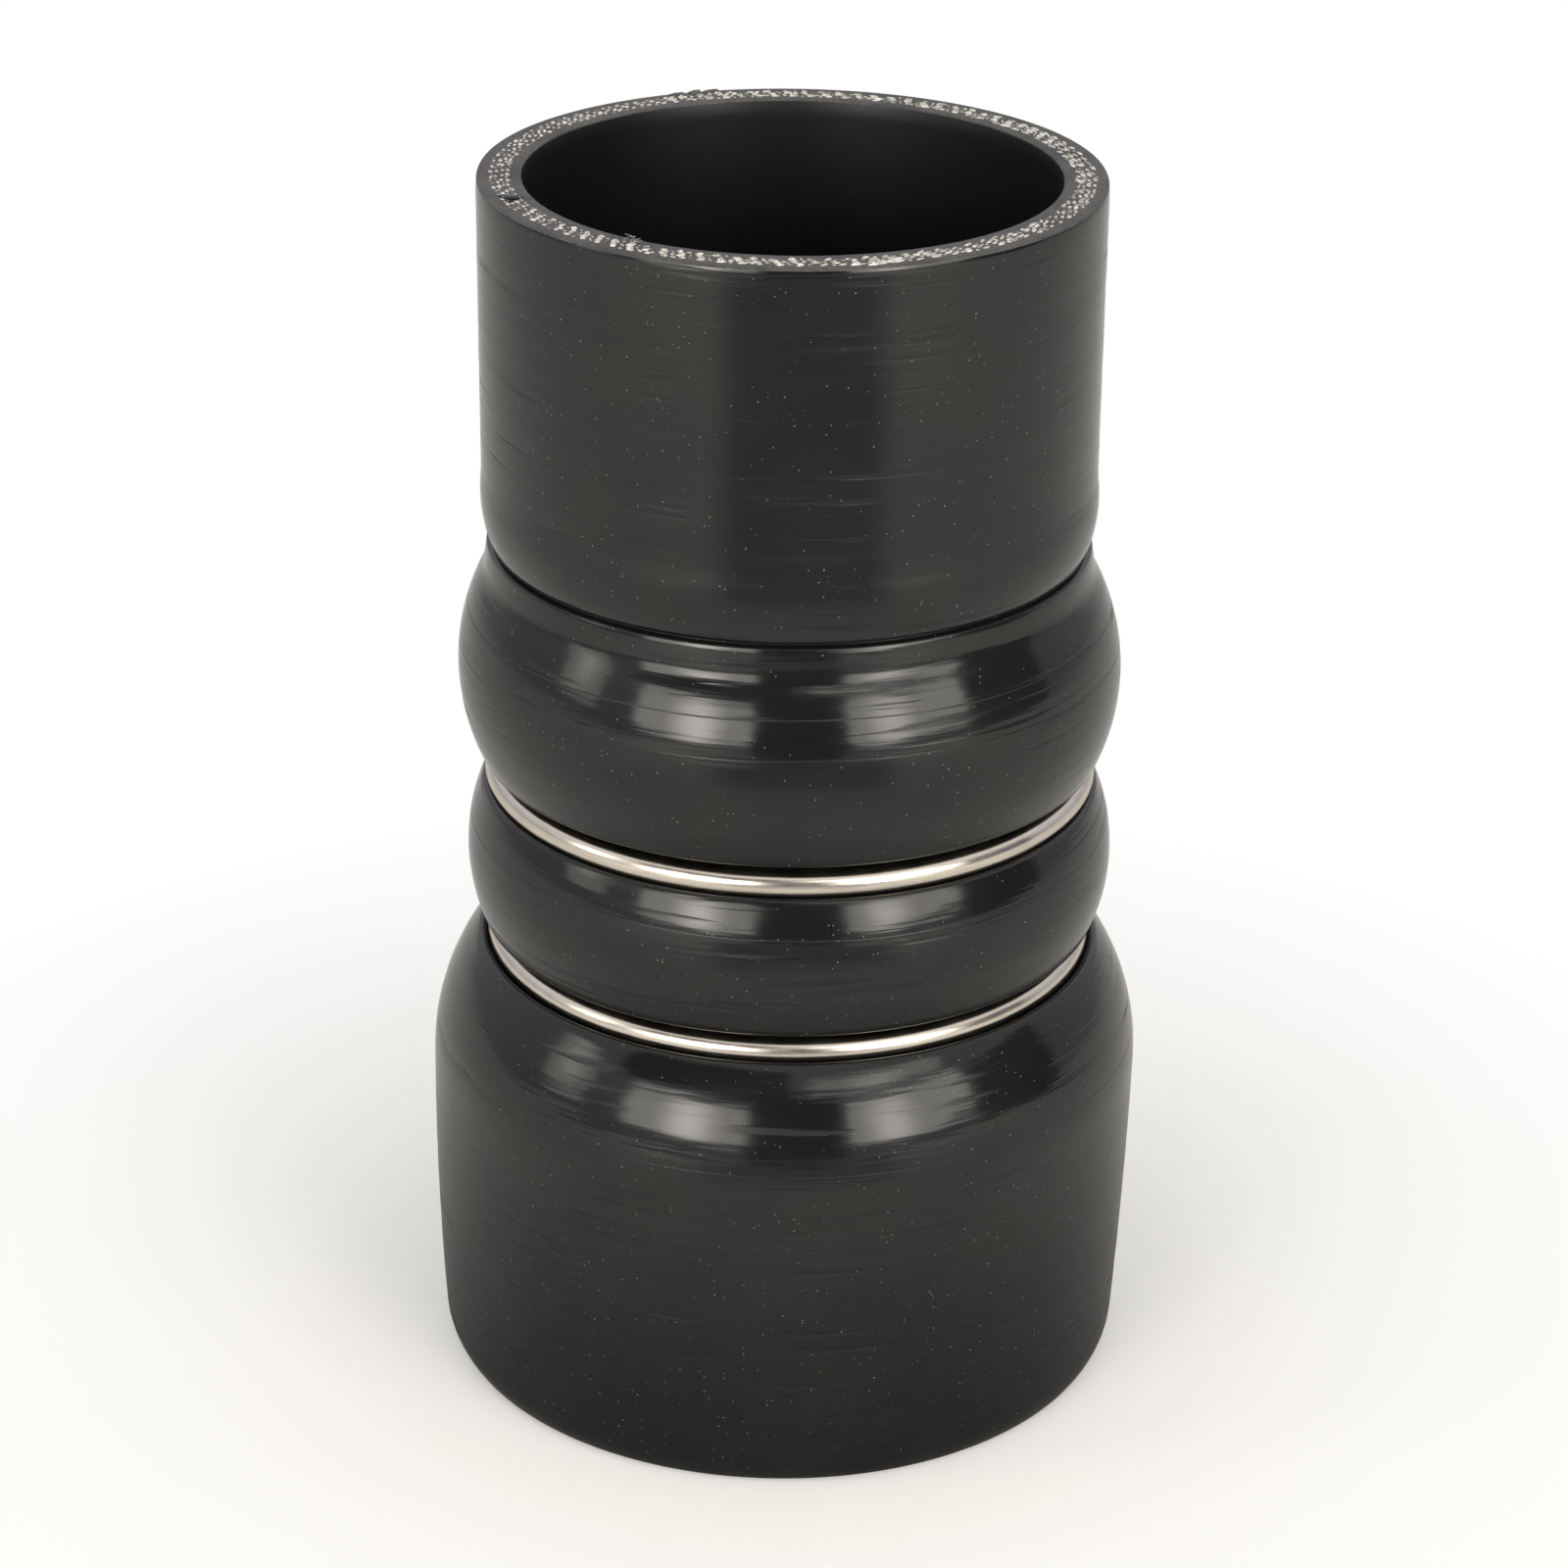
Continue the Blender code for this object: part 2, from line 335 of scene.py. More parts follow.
def cut_silicone():
    """The same rubber where a knife cut it: dull, chalky grey, with crumbs and fine tool marks."""
    material, tree, place = blank_material("knife_cut_silicone")
    # Crumbs are 0.4 mm wide, and the tone changes every 6 mm.
    crumbs = node(tree, "TexNoise", {"Vector": place, "Scale": 2600, "Detail": 4})
    patches = node(tree, "TexNoise", {"Vector": place, "Scale": 160, "Detail": 2})
    mixed = node(tree, "Math", {0: crumbs, 1: patches}, operation="ADD")
    tone = node(tree, "MapRange", {0: mixed, 1: 0.75, 2: 1.25})
    colour = node(tree, "Mix", {0: tone, 6: linear("#2f2f2e"), 7: linear("#585654")}, data_type="RGBA")
    bump = node(tree, "Bump", {"Height": crumbs, "Strength": 0.8, "Distance": 0.00012})
    sockets = {"Base Color": colour.outputs[2], "Roughness": 0.5, "IOR": 1.45, "Normal": bump}
    rubber = node(tree, "BsdfPrincipled", sockets)
    node(tree, "OutputMaterial", {"Surface": rubber})
    return material


def bore_silicone():
    """The bore's rubber, cured against a steel mandrel: even, deep black, with a few specks."""
    material, tree, place = blank_material("mandrel_cured_silicone")
    # The mandrel's turning marks are 1 mm apart, and the specks 0.3 mm wide.
    mark_place = node(tree, "Mapping", {"Vector": place, "Scale": (50, 50, 900)})
    marks = node(tree, "TexNoise", {"Vector": mark_place, "Scale": 1, "Detail": 3})
    specks = node(tree, "TexVoronoi", {"Vector": place, "Scale": 260})
    dust = node(tree, "Math", {0: specks, 1: 0.035}, operation="LESS_THAN")
    colour = node(tree, "Mix", {0: dust, 6: linear("#101114"), 7: linear("#303236")}, data_type="RGBA")
    bump = node(tree, "Bump", {"Height": marks, "Strength": 0.4, "Distance": 0.00005})
    sockets = {"Base Color": colour.outputs[2], "Roughness": 0.42, "IOR": 1.40, "Normal": bump}
    rubber = node(tree, "BsdfPrincipled", sockets)
    node(tree, "OutputMaterial", {"Surface": rubber})
    return material


def polyester_yarn():
    """Twisted polyester yarn where it was cut: white and dull, with painted shade that greys it between its
    filaments.
    """
    material, tree, place = blank_material("cut_polyester_yarn")
    # Bundles of filaments are 0.25 mm wide, and the tone changes from yarn to yarn, every 1 mm.
    filaments = node(tree, "TexNoise", {"Vector": place, "Scale": 4200, "Detail": 3})
    yarns = node(tree, "TexNoise", {"Vector": place, "Scale": 900, "Detail": 1})
    mixed = node(tree, "Math", {0: filaments, 1: yarns}, operation="ADD")
    # Painted shade between the filaments: the white yarn is darkened to grey there.
    shadow = node(tree, "MapRange", {0: mixed, 1: 0.70, 2: 0.95})
    grey = node(tree, "Mix", {0: shadow, 6: linear("#6c6a66"), 7: linear("#c4c1ba")}, data_type="RGBA")
    light = node(tree, "MapRange", {0: mixed, 1: 0.95, 2: 1.2})
    white = node(tree, "Mix", {0: light, 6: grey.outputs[2], 7: linear("#e8e6e0")}, data_type="RGBA")
    bump = node(tree, "Bump", {"Height": filaments, "Strength": 0.8, "Distance": 0.0001})
    sockets = {"Base Color": white.outputs[2], "Roughness": 0.8, "Sheen Weight": 0.2, "Normal": bump}
    yarn = node(tree, "BsdfPrincipled", sockets)
    node(tree, "OutputMaterial", {"Surface": yarn})
    return material


def cotton_lint():
    """Cotton lint: thin pale fibres, a little uneven in tone, that cling to the rubber."""
    material, tree, place = blank_material("cotton_lint")
    patches = node(tree, "TexNoise", {"Vector": place, "Scale": 900, "Detail": 1})
    colour = node(tree, "Mix", {0: patches, 6: linear("#5d5b57"), 7: linear("#a09e99")}, data_type="RGBA")
    fibre = node(tree, "BsdfPrincipled", {"Base Color": colour.outputs[2], "Roughness": 0.9})
    node(tree, "OutputMaterial", {"Surface": fibre})
    return material


def polished_wire():
    """Stainless steel wire, drawn and then polished: warm, bright, with faint lines along the wire."""
    material, tree, place = blank_material("polished_stainless_wire")
    # Drawing lines are 0.2 mm apart, and handling marks 3 mm long and 0.7 mm high.
    line_place = node(tree, "Mapping", {"Vector": place, "Scale": (70, 70, 5200)})
    lines = node(tree, "TexNoise", {"Vector": line_place, "Scale": 1, "Detail": 3})
    mark_place = node(tree, "Mapping", {"Vector": place, "Scale": (330, 330, 1400)})
    marks = node(tree, "TexNoise", {"Vector": mark_place, "Scale": 1, "Detail": 4})
    tone = node(tree, "MapRange", {0: marks, 1: 0.3, 2: 0.6})
    colour = node(tree, "Mix", {0: tone, 6: linear("#d1c8bb"), 7: linear("#dad1c4")}, data_type="RGBA")
    roughness = node(tree, "MapRange", {0: marks, 1: 0.35, 2: 0.7, 3: 0.19, 4: 0.26})
    relief = node(tree, "Math", {0: marks, 1: 0.8, 2: lines}, operation="MULTIPLY_ADD")
    bump = node(tree, "Bump", {"Height": relief, "Strength": 0.2, "Distance": 0.00002})
    sockets = {"Base Color": colour.outputs[2], "Metallic": 1.0, "Roughness": roughness, "Normal": bump}
    steel = node(tree, "BsdfPrincipled", sockets)
    node(tree, "OutputMaterial", {"Surface": steel})
    return material


# The hose's section


def crest(crest_radius, crest_z, side_radius, side_z):
    """Circle that peaks at the crest and passes through a point beside it."""
    drop = crest_radius - side_radius
    reach = side_z - crest_z
    radius = (drop**2 + reach**2) / (2 * drop)
    return Circle(crest_radius - radius, crest_z, radius)


def inset(circle, depth):
    """The same circle on a surface that lies this deep inside the outer one."""
    return Circle(circle.r, circle.z, circle.radius - depth)


def round_between(first, second, radius):
    """Circle of this radius that touches two others, on the side away from the axis."""
    from_first = abs(first.radius - radius)
    from_second = abs(second.radius - radius)
    across_r = second.r - first.r
    across_z = second.z - first.z
    distance = math.hypot(across_r, across_z)
    along = (from_first**2 - from_second**2 + distance**2) / (2 * distance)
    aside = math.sqrt(from_first**2 - along**2)
    unit_r = across_r / distance
    unit_z = across_z / distance
    outward = -1 if unit_z > 0 else 1
    centre_r = first.r + along * unit_r - outward * aside * unit_z
    centre_z = first.z + along * unit_z + outward * aside * unit_r
    return Circle(centre_r, centre_z, radius)


def touching_angle(first, second):
    """Direction of the surface where two circles of a smooth section meet."""
    gap = first.radius - second.radius
    return math.atan2((second.z - first.z) / gap, (second.r - first.r) / gap)


def groove(ring_z):
    """Circle of the groove that a ring rests in."""
    across = SEAT_REACH * math.cos(SEAT_ANGLE)
    above = SEAT_REACH * math.sin(SEAT_ANGLE)
    return Circle(RING_RADIUS + across, ring_z + above, -GROOVE_RADIUS)


def wall_circles(depth, corner_round):
    """Chain of circles from the upper cuff down to the lower one, at this depth in the wall."""
    side = GROOVE_CENTRE_RADIUS + GROOVE_SINK
    lip = Circle(UPPER_CUFF_RADIUS + LIP_PROUD - LIP_ROUND, LIP_Z, LIP_ROUND)
    sweep_r = UPPER_CUFF_RADIUS + LIP_SWEEP
    sweep_rise = math.sqrt((LIP_SWEEP + LIP_ROUND) ** 2 - (sweep_r - lip.r) ** 2)
    sweep = Circle(sweep_r, LIP_Z + sweep_rise, -LIP_SWEEP)
    upper_hump = crest(WAIST_RADIUS + UPPER_HUMP_HEIGHT, UPPER_HUMP_Z, side, UPPER_GROOVE_Z)
    upper_hump = Circle(upper_hump.r + HUMPS_FULLER, UPPER_HUMP_Z + UPPER_HUMP_RAISED, upper_hump.radius)
    crease = round_between(lip, upper_hump, -CREASE_ROUND)
    lower_hump_z = (LOWER_GROOVE_Z + UPPER_GROOVE_Z) / 2
    lower_hump = crest(WAIST_RADIUS + LOWER_HUMP_HEIGHT, lower_hump_z, side, LOWER_GROOVE_Z)
    lower_hump = Circle(lower_hump.r + HUMPS_FULLER, lower_hump_z - LOWER_HUMP_SUNK, lower_hump.radius)
    shoulder = crest(SHOULDER_RADIUS, SHOULDER_TOP, side + SHOULDER_FULLER, LOWER_GROOVE_Z)
    cuff = crest(SHOULDER_RADIUS, SHOULDER_TOP, SHOULDER_RADIUS - LOWER_CUFF_SWELL, 0)

    circles = [inset(circle, depth) for circle in (sweep, lip, crease)]
    forms = [upper_hump, groove(UPPER_RING_Z), lower_hump, groove(LOWER_RING_Z), shoulder]
    forms = [inset(form, depth) for form in forms]
    for first, second in zip(forms, forms[1:]):
        circles += [first, round_between(first, second, corner_round)]
    return circles + [forms[-1], inset(cuff, depth)]


def outer_circles():
    """Circles of the outside, in the order in which they are drawn: the upper mouth's turned-in edge,
    the two of the cuff's lip, and those from the neck down to the lower mouth's turned-in edge."""
    top_edge = Circle(UPPER_CUFF_RADIUS - UPPER_EDGE_ROUND, TOP_Z - UPPER_EDGE_HEIGHT, UPPER_EDGE_ROUND)
    circles = wall_circles(0, GROOVE_LIP_ROUND)
    hump = circles[3]
    reach = hump.radius + NECK_BEND
    neck = Circle(hump.r + reach * math.cos(HUMP_SLOPE), hump.z + reach * math.sin(HUMP_SLOPE), -NECK_BEND)
    cuff = circles[-1]
    to_edge = cuff.radius - LOWER_EDGE_ROUND
    edge_r = cuff.r + math.sqrt(to_edge**2 - (cuff.z - LOWER_EDGE_HEIGHT) ** 2)
    foot_edge = Circle(edge_r, LOWER_EDGE_HEIGHT, LOWER_EDGE_ROUND)
    return top_edge, circles[:2], [neck, *circles[3:], foot_edge]


# Drawing by hand


def deselect():
    bpy.ops.object.select_all(action="DESELECT")


def first_point(name, r, z):
    """Starts a piece as one point in the X-Z plane, in edit mode, for a section to be drawn from."""
    deselect()
    bpy.ops.mesh.primitive_plane_add(size=WALL)
    piece = bpy.context.object
    piece.name = name
    bpy.ops.object.mode_set(mode="EDIT")
    bpy.ops.mesh.merge(type="CENTER")
    bpy.ops.transform.translate(value=(r, 0, z))
    return piece


def draw_line(across, up, steps=1):
    for _ in range(steps):
        step = (across / steps, 0, up / steps)
        bpy.ops.mesh.extrude_vertices_move(TRANSFORM_OT_translate={"value": step})


def draw_arc(circle, start, end, step_length):
    """Draws on along a circle of the section, from one direction of the surface to another."""
    bend = abs(end - start)
    steps = math.ceil(max(bend * abs(circle.radius) / step_length, bend / LARGEST_BEND, 1))
    centre = (circle.r, 0, circle.z)
    bpy.ops.mesh.spin(steps=steps, angle=end - start, center=centre, axis=(0, 1, 0))


def draw_chain(circles, start, end, step_length):
    """Draws arcs along a chain of circles that touch one another."""
    turns = [start]
    turns += [touching_angle(first, second) for first, second in zip(circles, circles[1:])]
    turns.append(end)
    for circle, begin, finish in zip(circles, turns, turns[1:]):
        draw_arc(circle, begin, finish, step_length)


def turn_round(steps):
    """Turns the drawn section into a closed shell about Z, with its faces pointing out."""
    bpy.ops.mesh.select_all(action="SELECT")
    bpy.ops.mesh.remove_doubles(threshold=MERGE)
    bpy.ops.mesh.spin(steps=steps, angle=2 * math.pi, center=(0, 0, 0), axis=(0, 0, 1))
    bpy.ops.mesh.select_all(action="SELECT")
    bpy.ops.mesh.remove_doubles(threshold=MERGE)
    bpy.ops.mesh.normals_make_consistent(inside=False)
    bpy.ops.object.mode_set(mode="OBJECT")


def finish_shading(piece, angle):
    """Shades a piece smooth, apart from edges sharper than this."""
    deselect()
    piece.select_set(True)
    bpy.context.view_layer.objects.active = piece
    bpy.ops.object.shade_smooth_by_angle(angle=angle)


def surface_point(circle, slope):
    """Radius and height of the point where a circle's surface faces this way."""
    return circle.r + circle.radius * math.cos(slope), circle.z + circle.radius * math.sin(slope)


def turned_hose():
    """The hose's shell: its section is drawn arc by arc from the upper mouth, down and back up.

    Also gives the spots, as radius and height, where its sharp edges run round.
    """
    top_edge, lip_circles, circles = outer_circles()
    edge_lean = math.asin(UPPER_EDGE_HEIGHT / UPPER_EDGE_ROUND)
    foot_lean = -math.asin(LOWER_EDGE_HEIGHT / LOWER_EDGE_ROUND)
    start_r, _ = surface_point(top_edge, edge_lean)
    piece = first_point("rubber_hose", start_r, TOP_Z)
    draw_arc(top_edge, edge_lean, 0, OUTER_STEP)
    sweep, lip = lip_circles
    cuff_run = top_edge.z - sweep.z
    draw_line(0, -cuff_run, math.ceil(cuff_run / CUFF_STEP))

    lip_slope = math.asin((FOLD_Z + FOLD_WIDTH / 2 - lip.z) / lip.radius)
    lip_r, lip_z = surface_point(lip, lip_slope)
    draw_chain(lip_circles, 0, lip_slope, OUTER_STEP)
    bend_r, bend_z = surface_point(circles[0], NECK_SLOPE)
    neck_z = lip_z - FOLD_WIDTH
    neck_r = bend_r - (neck_z - bend_z) * math.tan(NECK_SLOPE)
    floor_r = lip_r - FOLD_DEPTH
    draw_line(-FOLD_DEPTH, -FOLD_WIDTH / 3)
    draw_line(0, -FOLD_WIDTH / 3)
    draw_line(neck_r - floor_r, -FOLD_WIDTH / 3)
    draw_line(bend_r - neck_r, bend_z - neck_z, NECK_STEPS)
    draw_chain(circles, NECK_SLOPE, foot_lean, OUTER_STEP)

    foot_r, _ = surface_point(circles[-1], foot_lean)
    inner = wall_circles(WALL, INNER_CORNER_ROUND)
    mouth = inner[-1]
    mouth_lean = -math.asin(mouth.z / mouth.radius)
    mouth_r, _ = surface_point(mouth, mouth_lean)
    draw_line(mouth_r - foot_r, 0, FACE_STEPS)
    draw_chain(inner[::-1], mouth_lean, 0, INNER_STEP)
    bore_run = TOP_Z - inner[0].z
    draw_line(0, bore_run, math.ceil(bore_run / INNER_STEP))
    draw_line(start_r - UPPER_BORE_RADIUS, 0, FACE_STEPS)
    turn_round(STEPS_ROUND)
    return piece, [(start_r, TOP_Z), (UPPER_BORE_RADIUS, TOP_Z)], [(lip_r, lip_z), (neck_r, neck_z)]


def edges_at(mesh, spots):
    """Selects the edge loops that run round at these spots."""
    for edge in mesh.edges:
        ends = [mesh.vertices[index].co for index in edge.vertices]
        edge.select = any(
            all(math.hypot(math.hypot(end.x, end.y) - r, end.z - z) < MERGE * 10 for end in ends)
            for r, z in spots
        )


def break_edges(piece, spots, width):
    """Takes the sharpness off the edges that run round at these spots."""
    bpy.ops.object.mode_set(mode="EDIT")
    bpy.ops.mesh.select_mode(type="EDGE")
    bpy.ops.mesh.select_all(action="DESELECT")
    bpy.ops.object.mode_set(mode="OBJECT")
    edges_at(piece.data, spots)
    bpy.ops.object.mode_set(mode="EDIT")
    bpy.ops.mesh.bevel(offset=width, segments=2)
    bpy.ops.object.mode_set(mode="OBJECT")


def give_faces(mesh, outside, cut, bore):
    """Gives each face the finish of the skin, the cut ends or the bore."""
    for material in (outside, cut, bore):
        mesh.materials.append(material)
    for face in mesh.polygons:
        outward = face.normal.x * face.center.x + face.normal.y * face.center.y
        from_end = min(face.center.z, TOP_Z - face.center.z)
        if from_end < BROKEN_EDGE:
            face.material_index = 1
        elif outward < 0:
            face.material_index = 2


def lean_at(z):
    """How far sideways the hose stands at a height."""
    return LEAN * math.exp(-(((z - LEAN_Z) / LEAN_REACH) ** 2))


def film_relief(mesh):
    """Raises the skin's unevenness, long low waves that the film wrap pressed in, and leans the hose."""
    outward = [v.normal.x * v.co.x + v.normal.y * v.co.y > 0 for v in mesh.vertices]
    for vertex, on_skin in zip(mesh.vertices, outward):
        place = vertex.co.copy()
        if on_skin and FLAT_ENDS < place.z < TOP_Z - FLAT_ENDS:
            wave_place = (place.x / WAVE_LENGTH, place.y / WAVE_LENGTH, place.z / WAVE_HEIGHT)
            grown = 1 + WAVE_DEPTH * noise.noise(Vector(wave_place)) / math.hypot(place.x, place.y)
            place.x *= grown
            place.y *= grown
        place.x += lean_at(place.z)
        vertex.co = place


# Cut yarns


def yarn_stub():
    """One cut yarn of unit size: a stub with a lobed outline and a domed top, pointing up."""
    deselect()
    bpy.ops.mesh.primitive_circle_add(vertices=12, radius=0.5, fill_type="NGON")
    stub = bpy.context.object
    bpy.ops.object.mode_set(mode="EDIT")
    bpy.ops.mesh.select_mode(type="VERT")
    bpy.ops.mesh.select_all(action="SELECT")
    bpy.ops.mesh.extrude_region_move(TRANSFORM_OT_translate={"value": (0, 0, 0.6)})
    bpy.ops.mesh.extrude_region_move(TRANSFORM_OT_translate={"value": (0, 0, 0.25)})
    bpy.ops.transform.resize(value=(0.8, 0.8, 1))
    bpy.ops.mesh.extrude_region_move(TRANSFORM_OT_translate={"value": (0, 0, 0.15)})
    bpy.ops.transform.resize(value=(0.5, 0.5, 1))
    bpy.ops.object.mode_set(mode="OBJECT")
    for vertex in stub.data.vertices:
        if vertex.index % 2:
            vertex.co.x *= 0.8
            vertex.co.y *= 0.8
    return stub


def join_all(pieces, name):
    """Joins pieces into the first of them, which takes this name."""
    deselect()
    for piece in pieces:
        piece.select_set(True)
    bpy.context.view_layer.objects.active = pieces[0]
    bpy.ops.object.join()
    pieces[0].name = name
    return pieces[0]


def join_copies(name, stub, places, material, chance, ragged):
    """Joins a copy of the stub for each placing matrix, each copy made ragged, into one piece."""
    copies = []
    for matrix in places:
        mesh = stub.data.copy()
        for vertex in mesh.vertices:
            vertex.co += Vector([chance.uniform(-ragged, ragged) for _ in range(3)])
        mesh.transform(matrix)
        copy = bpy.data.objects.new(name, mesh)
        bpy.context.scene.collection.objects.link(copy)
        copies.append(copy)
    bpy.data.objects.remove(stub)
    piece = join_all(copies, name)
    piece.data.materials.append(material)
    finish_shading(piece, math.radians(50))
    return piece


def stub_place(turn, r, z, size, twist, down):
    """Matrix that stands a stub at a turn round the axis, sized (out, round, up) and twisted."""
    seat = Matrix.Translation((r * math.cos(turn), r * math.sin(turn), z))
    upright = Matrix.Rotation(math.pi, 4, "X") if down else Matrix.Identity(4)
    return seat @ Matrix.Rotation(turn + twist, 4, "Z") @ upright @ Matrix.Diagonal((*size, 1))


def ply_places(bore_radius, face_z, down, chance):
    """Placing matrices for the four plies' yarns in one mouth: ends, and the crossing yarn between them."""
    places = []
    face = -1 if down else 1
    sunk = YARN_SUNK * face
    fabric = FABRIC_SHARE * WALL
    for ply in range(PLIES):
        r = bore_radius + INNER_RUBBER_SHARE * WALL + fabric * (ply + 0.5) / PLIES
        for index in range(YARNS_ROUND):
            turn = 2 * math.pi * (index + PLY_SHIFT * ply + chance.gauss(0, 0.07)) / YARNS_ROUND
            # The cloth is cut on the bias: it shows round ends on one side and long ones on the other.
            slant = 0.5 + 0.5 * math.cos(turn)
            long_way = YARN_WIDTH * (1.3 + 1.1 * slant) * chance.uniform(0.75, 1.25)
            wide_way = YARN_WIDTH * chance.uniform(0.75, 1.15)
            proud = YARN_SUNK + YARN_PROUD * chance.uniform(0.3, 1)
            out = r + chance.gauss(0, 0.00006)
            size = (wide_way, long_way, proud)
            places.append(stub_place(turn, out, face_z - sunk, size, chance.gauss(0.25, 0.15), down))
            for _ in range(chance.choice((1, 1, 2))):
                half = turn + math.pi / YARNS_ROUND
                out = r + chance.choice((-1, 1)) * chance.uniform(0.00008, 0.0002)
                wide_way = YARN_WIDTH * chance.uniform(0.4, 0.7)
                long_way = YARN_WIDTH * chance.uniform(0.8, 1.6)
                size = (wide_way, long_way, proud * 0.8)
                places.append(stub_place(half, out, face_z - sunk, size, chance.gauss(-0.3, 0.25), down))
    return places


def torn_yarn_places(chance):
    """Placing matrices for the long yarns that the knife dragged over the front of the upper cut."""
    places = []
    for _ in range(TORN_YARNS):
        turn = chance.uniform(*TORN_SPREAD)
        r = UPPER_BORE_RADIUS + chance.uniform(0.45, 0.8) * WALL
        size = (YARN_WIDTH * 0.8, chance.uniform(*TORN_LENGTH), YARN_SUNK + YARN_PROUD)
        places.append(stub_place(turn, r, TOP_Z - YARN_SUNK, size, chance.gauss(0.2, 0.1), False))
    return places


def fibre(name, points, thickness):
    """One loose fibre: a thin tube along a smooth curve through its points."""
    curve = bpy.data.curves.new(name, "CURVE")
    curve.dimensions = "3D"
    curve.bevel_depth = thickness / 2
    curve.bevel_resolution = 1
    curve.resolution_u = 3
    line = curve.splines.new("BEZIER")
    line.bezier_points.add(len(points) - 1)
    for knot, point in zip(line.bezier_points, points):
        knot.co = point
        knot.handle_left_type = "AUTO"
        knot.handle_right_type = "AUTO"
    made = bpy.data.objects.new(name, curve)
    bpy.context.scene.collection.objects.link(made)
    return made


def join_fibres(name, fibres, material):
    """Makes one mesh of some fibres."""
    deselect()
    for made in fibres:
        made.select_set(True)
    bpy.context.view_layer.objects.active = fibres[0]
    bpy.ops.object.convert(target="MESH")
    piece = join_all(fibres, name)
    piece.data.materials.clear()
    piece.data.materials.append(material)
    finish_shading(piece, math.radians(60))
    return piece


def frayed_tuft(chance):
    """Loose filaments that stand up from the inner plies of the upper cut."""
    root = Vector((TUFT_RADIUS * math.cos(TUFT_TURN), TUFT_RADIUS * math.sin(TUFT_TURN), TOP_Z))
    fibres = []
    for _ in range(TUFT_FIBRES):
        start = root + Vector((chance.gauss(0, 0.0006), chance.gauss(0, 0.0003), 0))
        across = chance.gauss(0.0002, 0.0006)
        away = chance.gauss(0, 0.0004)
        lean = Vector((across, away, TUFT_HEIGHT * chance.uniform(0.5, 1)))
        middle = start + lean * 0.6 + Vector((chance.gauss(0, 0.0001), 0, 0))
        tip = start + lean + Vector((chance.gauss(0, 0.0005), 0, -0.0001))
        fibres.append(fibre("frayed_filament", [start, middle, tip], FIBRE_THICKNESS))
    return fibres


def lint_on(piece, chance):
    """Short fibres that lie on the outside of the hose."""
    fibres = []
    for _ in range(LINT_FIBRES):
        turn = chance.uniform(0, 2 * math.pi)
        z = chance.uniform(*LINT_HEIGHTS)
        heading = chance.uniform(0, math.pi)
        bend = chance.uniform(-1.2, 1.2)
        length = chance.uniform(*LINT_LENGTH)
        points = []
        last = LINT_POINTS - 1
        for step in range(LINT_POINTS):
            aim = heading + bend * step / last
            across = length * step / last * math.cos(aim)
            rise = length * step / last * math.sin(aim)
            around = turn + across / SHOULDER_RADIUS
            start = Vector((math.cos(around), math.sin(around), 0)) * SHOULDER_RADIUS * 2
            start.z = z + rise
            inward = Vector((-start.x, -start.y, 0)).normalized()
            hit, spot, normal, _ = piece.ray_cast(start, inward)
            if hit:
                points.append(spot + normal * FIBRE_THICKNESS * 0.4)
        if len(points) == LINT_POINTS:
            fibres.append(fibre("lint_fibre", points, FIBRE_THICKNESS))
    return fibres


def torn_crumbs(material):
    """Crumbs of rubber torn up on the rim: small lumps, flattened and ragged."""
    lumps = []
    for turn, r, z, size in CRUMBS:
        deselect()
        bpy.ops.mesh.primitive_ico_sphere_add(subdivisions=3, radius=0.5)
        lump = bpy.context.object
        for vertex in lump.data.vertices:
            vertex.co *= 1 + 0.25 * noise.noise(vertex.co * 3 + Vector((turn, 0, 0)))
        place = Matrix.Translation((r * math.cos(turn), r * math.sin(turn), z))
        lump.data.transform(place @ Matrix.Rotation(turn, 4, "Z") @ Matrix.Diagonal((*size, 1)))
        lumps.append(lump)
    piece = join_all(lumps, "torn_crumbs")
    piece.data.materials.append(material)
    finish_shading(piece, math.radians(80))
    return piece


def torn_flap(material):
    """A sliver of rubber that the knife lifted: a thin curved tongue, raised at its tip."""
    deselect()
    bpy.ops.mesh.primitive_plane_add(size=1)
    piece = bpy.context.object
    piece.name = "torn_flap"
    bpy.ops.object.mode_set(mode="EDIT")
    bpy.ops.mesh.subdivide(number_cuts=9)
    bpy.ops.object.mode_set(mode="OBJECT")
    for vertex in piece.data.vertices:
        along = vertex.co.x + 0.5
        across = vertex.co.y * (1 - 0.85 * along**1.5) + 0.25 * math.sin(2.2 * along)
        lift = FLAP_LIFT * along**1.6 + 0.12 * FLAP_LIFT * math.cos(across * 9)
        vertex.co = (along * FLAP_LENGTH, across * FLAP_WIDTH, lift)
    wall = piece.modifiers.new("wall", "SOLIDIFY")
    wall.thickness = FLAP_THICKNESS
    wall.offset = 0
    bpy.ops.object.modifier_apply(modifier="wall")
    seat = Matrix.Translation((FLAP_ROOT[0], FLAP_ROOT[1], TOP_Z))
    piece.data.transform(seat @ Matrix.Rotation(FLAP_TURN, 4, "Z"))
    piece.data.materials.append(material)
    finish_shading(piece, math.radians(60))
    return piece


# Rings


